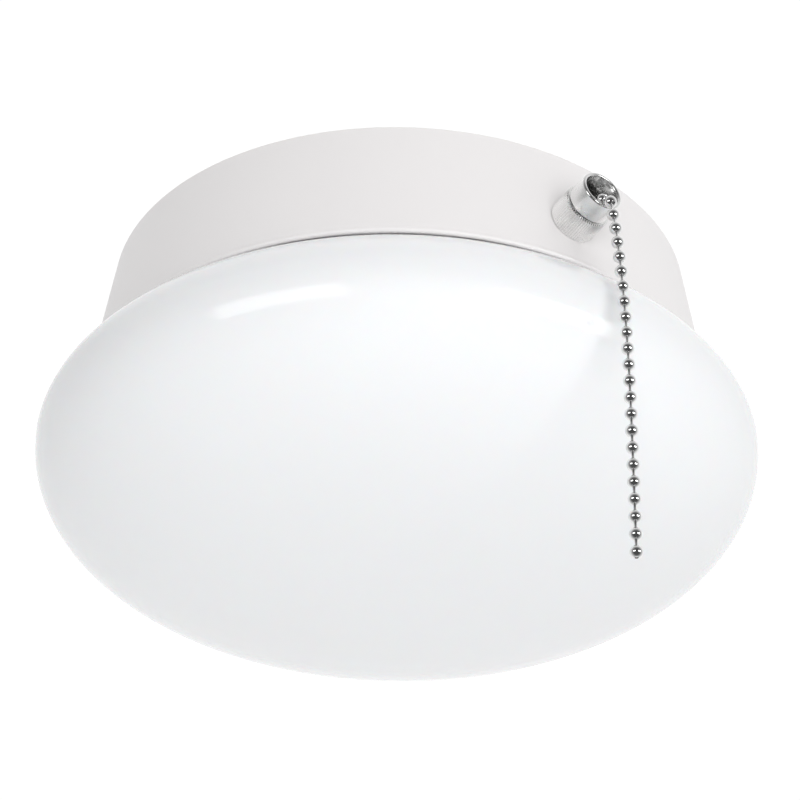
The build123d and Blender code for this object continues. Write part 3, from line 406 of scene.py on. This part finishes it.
def make_materials():
    """One finish for each material slot of the record."""
    make_material("pan_paint", (0.80, 0.782, 0.782), 0.38, variation=0.008, patch=25, grain=700,
                  grain_depth=0.004, rough_spread=0.04)
    make_material("foam", (0.62, 0.62, 0.6), 0.95, variation=0.08, patch=120, grain=1600,
                  grain_depth=0.35, speckle=(0.38, 0.38, 0.37))
    make_material("zinc_plate", (0.62, 0.63, 0.62), 0.36, 1.0, variation=0.12, patch=45, grain=4000,
                  grain_depth=0.006, grain_stretch=(30, 1, 1), rough_spread=0.1)
    make_material("green_screw", (0.035, 0.30, 0.09), 0.34, 0.6, patch=300, grain=2500, grain_depth=0.008)
    make_material("black_plastic", (0.025, 0.025, 0.027), 0.45, grain=2200, grain_depth=0.012,
                  variation=0.15)
    make_material("clear_plastic", (0.86, 0.87, 0.85), 0.18, variation=0.03, grain=500, grain_depth=0.005,
                  sockets={"IOR": 1.49})
    make_material("tin_plate", (0.74, 0.74, 0.72), 0.26, 1.0, variation=0.07, patch=200, grain=3000,
                  grain_depth=0.004)
    make_material("aluminium", (0.77, 0.775, 0.78), 0.34, 1.0, variation=0.05, patch=40, grain=4500,
                  grain_depth=0.005, grain_stretch=(1, 40, 1))
    make_material("fibre_sheet", (0.62, 0.61, 0.55), 0.8, variation=0.06, patch=250, grain=1800,
                  grain_depth=0.03, grain_stretch=(3, 1, 1))
    make_material("board_white", (0.87, 0.875, 0.86), 0.28, variation=0.02, patch=80, grain=1200,
                  grain_depth=0.006)
    make_material("led_yellow", (0.88, 0.66, 0.12), 0.4, variation=0.08, patch=900, grain=5000,
                  grain_depth=0.01)
    make_material("board_green", (0.03, 0.22, 0.09), 0.3, variation=0.2, patch=400, grain=1400,
                  grain_depth=0.012)
    make_material("capacitor_sleeve", (0.03, 0.035, 0.07), 0.22, variation=0.1, patch=200, grain=900,
                  grain_depth=0.006)
    make_material("ferrite", (0.075, 0.07, 0.068), 0.7, variation=0.2, patch=500, grain=2600,
                  grain_depth=0.03)
    make_material("chip_black", (0.03, 0.03, 0.032), 0.55, variation=0.15, patch=700, grain=4500,
                  grain_depth=0.01)
    make_material("film_red", (0.5, 0.09, 0.06), 0.24, variation=0.08, patch=200, grain=700,
                  grain_depth=0.012)
    make_material("resistor_blue", (0.16, 0.33, 0.5), 0.3, variation=0.1, patch=500, grain=1600,
                  grain_depth=0.012)
    make_material("opal", (0.815, 0.822, 0.835), 0.13, variation=0.004, patch=18, grain=260,
                  grain_depth=0.0012, rough_spread=0.02,
                  sockets={"IOR": 1.49, "Subsurface Weight": 0.12, "Subsurface Scale": 0.003})
    make_material("nickel", (0.88, 0.88, 0.875), 0.24, 1.0, variation=0.04, patch=350, grain=5000,
                  grain_depth=0.002, grain_stretch=(1, 1, 3), rough_spread=0.05)
    make_material("chrome", (0.8, 0.8, 0.8), 0.05, 1.0, variation=0.04, patch=500, grain=2500,
                  grain_depth=0.001, rough_spread=0.02)
    make_material("phenolic", (0.075, 0.05, 0.035), 0.42, variation=0.2, patch=220, grain=2600,
                  grain_depth=0.02, speckle=(0.11, 0.08, 0.06))
    make_material("brass", (0.72, 0.52, 0.22), 0.28, 1.0, variation=0.1, patch=300, grain=3500,
                  grain_depth=0.004, grain_stretch=(8, 1, 1))
    make_material("spring_steel", (0.45, 0.45, 0.46), 0.3, 1.0, variation=0.12, patch=600, grain=4000,
                  grain_depth=0.003)
    make_material("white_plastic", (0.84, 0.84, 0.81), 0.4, variation=0.02, patch=150, grain=1800,
                  grain_depth=0.01)
    make_material("copper", (0.75, 0.38, 0.24), 0.3, 1.0, variation=0.12, patch=500, grain=3000,
                  grain_depth=0.004)
    for name, colour in (("wire_black", (0.02, 0.02, 0.022)), ("wire_white", (0.85, 0.85, 0.82)),
                         ("wire_green", (0.03, 0.32, 0.10)), ("wire_red", (0.55, 0.03, 0.025))):
        make_material(name, colour, 0.36, variation=0.06, patch=200, grain=900, grain_depth=0.01)


def finish_cad_nodes():
    """Give every CAD node the finish of its slot."""
    for node in nodes.values():
        for slot in node.material_slots:
            base_name = slot.material.name.split(".")[0]
            slot.material = materials[base_name]


# ---------------------------------------------------------------- base pan and its foam ring

def pan_outline():
    """Closed section of the pan: recessed top, slanted wall and rolled hem."""
    dish_top = pan_top_z - dish_depth
    outside = softened([
        (0, dish_top),
        (dish_radius, dish_top),
        (dish_radius + dish_depth, pan_top_z),
        (pan_top_radius, pan_top_z),
        (pan_hem_line_radius, hem_z),
        (0, hem_z),
    ], {1: dish_foot_radius, 2: dish_rim_radius, 3: pan_corner_radius}, 6)[:-2]
    hem = arc((pan_hem_line_radius - wall_across / 2, hem_z), hem_radius, 60, -240, 24)
    inside = softened([
        (pan_hem_line_radius - wall_across, hem_z),
        (pan_top_radius - wall_across, pan_top_z - sheet),
        (dish_radius + dish_depth - sheet / 2, pan_top_z - sheet),
        (dish_radius - sheet / 2, dish_top - sheet),
        (0, dish_top - sheet),
    ], {2: inner_rim_radius, 3: inner_foot_radius}, 6)[1:]
    return outside + hem + inside


def slot_outline(x, y, radius, half_length, steps=12):
    """Outline of an upright slot, or of a round hole where half_length is 0."""
    upper = arc((x, y + half_length), radius, 0, 180, steps)
    lower = arc((x, y - half_length), radius, 180, 360, steps)
    if half_length == 0:
        return upper[:-1] + lower[:-1]
    return upper + lower


def make_pan():
    """Painted steel pan with the holes of its screws, wires, posts and switch."""
    pan = bmesh.new()
    add_turned(pan, pan_outline(), 288)
    holes = bmesh.new()
    low = pan_top_z - dish_depth - 2 * sheet
    high = pan_top_z - dish_depth + sheet
    for side in (-1, 1):
        place = side * pan_screw_spacing / 2
        add_prism(holes, slot_outline(place, 0, pan_screw_slot_radius, pan_screw_slot_half), low, high)
    add_prism(holes, slot_outline(0, wire_entry_y, grommet_outer_radius, 0, 24), low, high)
    add_prism(holes, slot_outline(*ground_place, ground_screw_radius, 0), low, high)
    for post in range(post_count):
        angle = math.radians(post_start_angle + 360 / post_count * post)
        x = post_circle_radius * math.cos(angle)
        y = post_circle_radius * math.sin(angle)
        add_prism(holes, slot_outline(x, y, post_hole_radius, 0), low, high)
    reach = 2 * sheet
    hole_radius = thread_radius + hole_gap
    add_turned(holes, [(0, -reach), (hole_radius, -reach), (hole_radius, reach), (0, reach)],
               48, axis_frame(seat_origin, bushing_axis))
    pan = cut_away(pan, holes)
    finish_piece(pan, "pan_shell", "pan_paint", "fixture", "base_pan")


def make_gasket():
    """Foam ring on the pan's rim, with soft edges."""
    section = [(gasket_inner_radius, pan_top_z), (gasket_outer_radius, pan_top_z),
               (gasket_outer_radius, 0), (gasket_inner_radius, 0)]
    ring = bmesh.new()
    add_turned(ring, softened(section, {2: gasket_edge_radius, 3: gasket_edge_radius}), 192)
    finish_piece(ring, "foam_ring", "foam", "fixture", "ceiling_gasket")


# ---------------------------------------------------------------- lens

def lens_outline():
    """Closed section of the opal bowl, its rounded shoulder and its neck."""
    shoulder_angle = math.degrees(math.acos(lens_shoulder_radius / lens_radius))
    shoulder_z = lens_equator_z + lens_upper_height * math.sin(math.radians(shoulder_angle))
    inner_radius = lens_radius - lens_wall
    neck_inner = lens_neck_radius - lens_wall
    inner_angle = math.degrees(math.acos(neck_inner / inner_radius))
    inner_height = (shoulder_z - lens_wall - lens_equator_z) / math.sin(math.radians(inner_angle))
    bottom_z = lens_equator_z - lens_lower_height

    def rise(radius, height, end, steps):
        """Elliptical rise from the equator to an angle."""
        points = []
        for step in range(steps + 1):
            angle = math.radians(end * step / steps)
            points.append((radius * math.cos(angle), lens_equator_z + height * math.sin(angle)))
        return points

    def bowl(radius, bottom):
        """Lower bowl from the axis out to the equator."""
        depth = lens_equator_z - bottom
        return bezier((0, bottom), (lens_bowl_fullness * radius, bottom),
                      (radius, lens_equator_z - lens_bowl_fullness * depth), (radius, lens_equator_z), 48)

    upper = rise(lens_radius, lens_upper_height, shoulder_angle, 32)
    shoulder = soft_corner(upper[-3], upper[-1], (lens_neck_radius, shoulder_z), lens_shoulder_edge, 8)
    upper = [point for point in upper if point[0] > shoulder[0][0] + 0.05]
    neck = softened([
        (lens_neck_radius, shoulder_z),
        (lens_neck_radius, lens_neck_top_z),
        (neck_inner, lens_neck_top_z),
        (neck_inner, shoulder_z - lens_wall),
    ], {1: lens_neck_edge, 2: lens_neck_edge}, 4)
    inner_upper = rise(inner_radius, inner_height, inner_angle, 24)[:-1]
    outside = bowl(lens_radius, bottom_z)[:-1] + upper + shoulder + neck
    inside = bowl(inner_radius, bottom_z + lens_wall)[:-1] + inner_upper
    return outside + inside[::-1]


def add_lug(bm, middle_angle):
    """Add one locking lug of the lens as a short rib round its neck."""
    steps = 12
    low = lens_neck_top_z - lug_height
    inner = lens_neck_radius - lens_wall / 2
    outer = lens_neck_radius + lug_reach
    top = lens_neck_top_z
    section = [(inner, low), (outer - lug_edge, low), (outer, low + lug_edge),
               (outer, top - lug_edge), (outer - lug_edge, top), (inner, top)]
    rings = []
    for step in range(steps + 1):
        angle = math.radians(middle_angle - lug_angle / 2 + lug_angle * step / steps)
        rings.append([bm.verts.new(Vector((r * math.cos(angle), r * math.sin(angle), z)) * MM)
                      for r, z in section])
    count = len(section)
    for first, second in zip(rings, rings[1:]):
        for index in range(count):
            after = (index + 1) % count
            bm.faces.new((first[index], first[after], second[after], second[index]))
    bm.faces.new(rings[0])
    bm.faces.new(rings[-1])


def make_lens():
    """Opal bowl with its neck and locking lugs."""
    bowl = bmesh.new()
    add_turned(bowl, lens_outline(), 288)
    for lug in range(lug_count):
        add_lug(bowl, lug_start_angle + 360 * lug / lug_count)
    finish_piece(bowl, "opal_bowl", "opal", "lens", "diffuser_lens")


# ---------------------------------------------------------------- switch bushing and nut

def make_bushing():
    """Plated bushing: thread, plain collar and flared mouth with a thin lip."""
    collar_along = nut_height + 2 * slip_gap
    collar_radius = lip_centre_radius + lip_radius
    flare_start = mouth_reach - flare_length
    thread = []
    turns = int((bushing_inner_end + collar_along) / thread_pitch)
    for turn in range(turns):
        foot = -bushing_inner_end + thread_pitch * turn
        thread += [(thread_radius - thread_depth, foot + 0.1 * thread_pitch),
                   (thread_radius, foot + 0.5 * thread_pitch)]
    outline = [(bushing_bore_radius, -bushing_inner_end)] + thread
    outline += [(thread_radius - thread_depth, collar_along),
                (collar_radius - collar_chamfer, collar_along),
                (collar_radius, collar_along + collar_chamfer)]
    lip = arc((lip_centre_radius, lip_along), lip_radius, 0, 180, 12)
    throat = bezier((lip_centre_radius - lip_radius, lip_along),
                    (bushing_bore_radius + throat_swell, lip_along - throat_depth),
                    (bushing_bore_radius, flare_start + flare_ease_in),
                    (bushing_bore_radius, flare_start), 10)[1:]
    bushing = bmesh.new()
    add_turned(bushing, outline + lip + throat, 128, axis_frame(seat_origin, bushing_axis))
    finish_piece(bushing, "switch_mouth", "nickel", "fixture", "switch_bushing")


def make_knurled_nut():
    """Round nut with fine straight knurls that run out in a chamfer at each end."""
    inner = thread_radius + slip_gap
    base = slip_gap

    def knurl(radius, height, angle):
        """Radius of the knurled surface at an angle."""
        share = (angle * knurl_count / (2 * math.pi)) % 1
        crest = nut_radius - knurl_depth * abs(2 * share - 1)
        return min(radius, crest)

    top = base + nut_height
    outline = [
        (inner, base),
        (nut_radius - 0.28, base),
        (nut_radius - 0.02, base + 0.22),
        (nut_radius, base + 0.45),
        (nut_radius, top - nut_chamfer - 0.1),
        (nut_radius - 0.06, top - nut_chamfer),
        (nut_radius - 0.36, top),
        (inner + 0.2, top),
        (inner, top - 0.2),
    ]
    nut = bmesh.new()
    add_turned(nut, outline, knurl_count * 8, axis_frame(seat_origin, bushing_axis), knurl)
    finish_piece(nut, "nut_knurled", "nickel", "fixture", "knurled_nut")


# ---------------------------------------------------------------- ball chain

def bead_outline():
    """Closed section of one hollow ball: two link holes with turned-in edges."""
    hole = link_radius + link_hole_gap
    start = math.degrees(math.asin(hole / bead_radius))
    ball = arc((0, 0), bead_radius, -90 + start, 90 - start, 22)
    tip = ball[-1][1]
    dimple = [(hole - 0.1, tip - 0.06), (hole - 0.12, tip - 0.2), (0, tip - 0.22)]
    return [(r, -z) for r, z in dimple[::-1]] + ball + dimple


def add_bead(bm, place, direction):
    """Add one ball whose link holes lie along direction."""
    add_turned(bm, bead_outline(), 36, axis_frame(place, direction))


def add_link(bm, start, end):
    """Add the wire between two balls, thicker where it goes into them."""
    length = (end - start).length
    waist = link_radius * link_waist
    outline = [(0, 0), (link_radius, 0), (link_radius, link_neck), (waist, 2 * link_neck),
               (waist, length - 2 * link_neck), (link_radius, length - link_neck),
               (link_radius, length), (0, length)]
    add_turned(bm, outline, 16, axis_frame(start, end - start))


def link_between(bm, first, second):
    """Add the wire from inside one ball to inside the next."""
    along = (second - first).normalized()
    reach = along * (bead_radius - link_sink)
    add_link(bm, first + reach, second - reach)


def finish_chain(bm, name, body, node):
    """Turn a finished bmesh into a piece of the polished chain."""
    piece = finish_piece(bm, name, "nickel", body, node)
    piece.data.materials[0] = materials["chrome"]
    return piece


def make_inner_chain():
    """Level beads in the bushing and the case, with their links."""
    places = [radial_point(bend_x - step * bead_pitch, chain_z)
              for step in range(1, inner_bead_count + 1)]
    chain = bmesh.new()
    for place in places:
        add_bead(chain, place, outward)
    for first, second in zip(places, places[1:]):
        link_between(chain, first, second)
    link_between(chain, places[0], radial_point(bend_x, chain_z))
    finish_chain(chain, "beads_inside", "inner_chain", "chain_inner")


def make_loose_beads():
    """The bead at the bend, the bead on the lip and the bead below it."""
    down = slant.x * outward + Vector((0, 0, slant.y))
    lip_bead = radial_point(lip_bead_x, lip_bead_z)
    top_bead = lip_bead + down * bead_pitch
    bend_bead = radial_point(bend_x, chain_z)
    half_way = (outward + down).normalized()
    for name, place, direction, body, node in (
        ("bead_bend", bend_bead, outward, "bend_bead", "chain_bend_bead"),
        ("bead_lip", lip_bead, half_way, "lip_bead", "chain_lip_bead"),
        ("bead_top", top_bead, down, "top_bead", "chain_top_bead"),
    ):
        bead = bmesh.new()
        add_bead(bead, place, direction)
        if name == "bead_lip":
            link_between(bead, bend_bead, lip_bead)
        if name == "bead_top":
            link_between(bead, lip_bead, top_bead)
        finish_chain(bead, name, body, node)


def hanging_route():
    """The hanging chain's route in the switch plane, as in the CAD model."""
    start = Vector((lip_bead_x, lip_bead_z)) + slant * (bead_pitch + chain_start_gap)
    points = [start]
    for length, lean in chain_runs + ((chain_last_run, 0.0),):
        step = Vector((math.sin(math.radians(lean)), -math.cos(math.radians(lean))))
        points.append(points[-1] + length * step)
    return [radial_point(point.x, point.y) for point in points]


def smooth_line(points):
    """Points of the NURBS line that a route's points control, in metres."""
    curve = bpy.data.curves.new("route", "CURVE")
    curve.dimensions = "3D"
    curve.resolution_u = 24
    spline = curve.splines.new("NURBS")
    spline.points.add(len(points) - 1)
    for target, point in zip(spline.points, points):
        target.co = (*(point * MM), 1.0)
    spline.order_u = 3
    spline.use_endpoint_u = True
    route = bpy.data.objects.new("route", curve)
    bpy.context.scene.collection.objects.link(route)
    depsgraph = bpy.context.evaluated_depsgraph_get()
    line = bpy.data.meshes.new_from_object(route.evaluated_get(depsgraph))
    found = [vertex.co.copy() for vertex in line.vertices]
    bpy.data.objects.remove(route)
    return found


def point_along(line, distance):
    """Point and direction at a distance along a line of points."""
    for before, after in zip(line, line[1:]):
        step = (after - before).length
        if distance <= step or after is line[-1]:
            return before + (after - before) * (distance / step), (after - before).normalized()
        distance -= step


def make_hanging_chain():
    """Hanging run of beads, each on the route's line one pitch after the last."""
    line = smooth_line(hanging_route())
    first = (bead_pitch - chain_start_gap) * MM
    top_bead = radial_point(lip_bead_x + bead_pitch * slant.x, lip_bead_z + bead_pitch * slant.y)
    chain = bmesh.new()
    before = top_bead
    for index in range(chain_run_beads):
        place, direction = point_along(line, first + index * bead_pitch * MM)
        place = place / MM
        add_bead(chain, place, direction)
        link_between(chain, before, place)
        before = place
    piece = finish_chain(chain, "chain_hanging", "hanging_chain", "chain_run")


# ---------------------------------------------------------------- camera, light and floor

camera_target = Vector((0, 0, -45.0)) * MM
camera_distance = 0.747
camera_elevation = 31.93
camera_lens = 135.3
frame_lift = 0.922
frame_turn = 0.057
camera_roll = 0.75
floor_z = -1.8
floor_size = 30.0
soft_boxes = (
    # name, azimuth, elevation, width and height in degrees, strength
    ("soft_right", 45.0, -8.5, 36.0, 18.0, 4.3),
    ("soft_left", -34.0, -9.0, 38.0, 17.0, 2.7),
)
soft_box_distance = 1.6
fill_azimuth = 15.0
fill_elevation = -14.0
fill_width = 45.0
fill_strength = 3.5
overhead_strength = 0.8
overhead_spread = 30.0
dark_side_elevation = -25.0
dark_side_strength = 0.08
surround_strength = 1.04
shade_from = -0.8
shade_to = 0.75


def direction_at(azimuth, elevation):
    """Direction from the object; azimuth 0 is the viewer's side and grows towards +X."""
    a = math.radians(azimuth)
    e = math.radians(elevation)
    return Vector((math.sin(a) * math.cos(e), -math.cos(a) * math.cos(e), math.sin(e)))


def make_camera():
    """Camera below the light, looking up at it."""
    camera = bpy.data.objects.new("camera", bpy.data.cameras.new("camera"))
    bpy.context.scene.collection.objects.link(camera)
    camera.data.sensor_width = 36.0
    camera.data.lens = camera_lens
    camera.data.clip_start = 0.01
    camera.data.clip_end = 100
    camera.location = camera_target + direction_at(0, -camera_elevation) * camera_distance
    look = -direction_at(-frame_turn, -camera_elevation - frame_lift)
    turn = look.to_track_quat("-Z", "Y").to_matrix().to_4x4()
    roll = Matrix.Rotation(math.radians(camera_roll), 4, "Z")
    camera.matrix_world = Matrix.Translation(camera.location) @ turn @ roll
    bpy.context.scene.camera = camera


def make_lights():
    """Two soft boxes seen in reflections, and a fill and a sun that light the surfaces."""
    fill = ("soft_fill", fill_azimuth, fill_elevation, fill_width, fill_width, fill_strength)
    for name, azimuth, elevation, width, height, strength in soft_boxes + (fill,):
        light = bpy.data.lights.new(name, "AREA")
        light.shape = "RECTANGLE"
        light.size = 2 * soft_box_distance * math.tan(math.radians(width / 2))
        light.size_y = 2 * soft_box_distance * math.tan(math.radians(height / 2))
        light.energy = strength * math.pi * light.size * light.size_y
        lamp = bpy.data.objects.new(name, light)
        bpy.context.scene.collection.objects.link(lamp)
        direction = direction_at(azimuth, elevation)
        lamp.location = camera_target + direction * soft_box_distance
        lamp.rotation_mode = "QUATERNION"
        lamp.rotation_quaternion = direction.to_track_quat("Z", "Y")
        lamp.visible_glossy = name != "soft_fill"
        lamp.visible_diffuse = name == "soft_fill"
        lamp.visible_camera = False
    overhead = bpy.data.lights.new("overhead", "SUN")
    overhead.energy = overhead_strength
    overhead.angle = math.radians(overhead_spread)
    lamp = bpy.data.objects.new("overhead", overhead)
    lamp.visible_glossy = False
    bpy.context.scene.collection.objects.link(lamp)


def make_world():
    """White to the camera; for light and reflections it darkens towards the viewer's side."""
    world = bpy.data.worlds.new("studio")
    bpy.context.scene.world = world
    world.use_nodes = True
    tree = world.node_tree
    background = tree.nodes["Background"]
    towards = tree.nodes.new("ShaderNodeVectorMath")
    towards.operation = "DOT_PRODUCT"
    towards.inputs[1].default_value = direction_at(0, dark_side_elevation)
    direction = tree.nodes.new("ShaderNodeTexCoord").outputs["Generated"]
    tree.links.new(direction, towards.inputs[0])
    shade = tree.nodes.new("ShaderNodeMapRange")
    shade.interpolation_type = "SMOOTHSTEP"
    shade.inputs["From Min"].default_value = shade_from
    shade.inputs["From Max"].default_value = shade_to
    shade.inputs["To Min"].default_value = surround_strength
    shade.inputs["To Max"].default_value = dark_side_strength
    tree.links.new(towards.outputs["Value"], shade.inputs["Value"])
    plain = tree.nodes.new("ShaderNodeMath")
    plain.operation = "MULTIPLY"
    plain.inputs[1].default_value = surround_strength
    tree.links.new(tree.nodes.new("ShaderNodeLightPath").outputs["Is Camera Ray"], plain.inputs[0])
    brighter = tree.nodes.new("ShaderNodeMath")
    brighter.operation = "MAXIMUM"
    tree.links.new(shade.outputs["Result"], brighter.inputs[0])
    tree.links.new(plain.outputs["Value"], brighter.inputs[1])
    tree.links.new(brighter.outputs["Value"], background.inputs["Strength"])
    background.inputs["Color"].default_value = (1.0, 1.0, 1.0, 1.0)
    bpy.context.scene.view_settings.view_transform = "Standard"


def make_floor():
    """Plain pale floor well below the hanging light."""
    bm = bmesh.new()
    corners = [(-1, -1), (1, -1), (1, 1), (-1, 1)]
    bm.faces.new([bm.verts.new((x * floor_size / 2, y * floor_size / 2, floor_z)) for x, y in corners])
    mesh = bpy.data.meshes.new("floor")
    bm.to_mesh(mesh)
    bm.free()
    floor = bpy.data.objects.new("floor", mesh)
    bpy.context.scene.collection.objects.link(floor)
    make_material("floor_paint", (0.82, 0.82, 0.82), 0.7, variation=0.01, patch=1.5, grain=60,
                  grain_depth=0.05)
    floor.data.materials.append(materials["floor_paint"])
    floor.visible_glossy = False


# ---------------------------------------------------------------- making

make_materials()
finish_cad_nodes()
make_camera()
make_hanging_chain()
make_loose_beads()
make_inner_chain()
make_knurled_nut()
make_bushing()
make_lens()
make_gasket()
make_pan()
make_floor()
make_lights()
make_world()

bpy.context.view_layer.update()
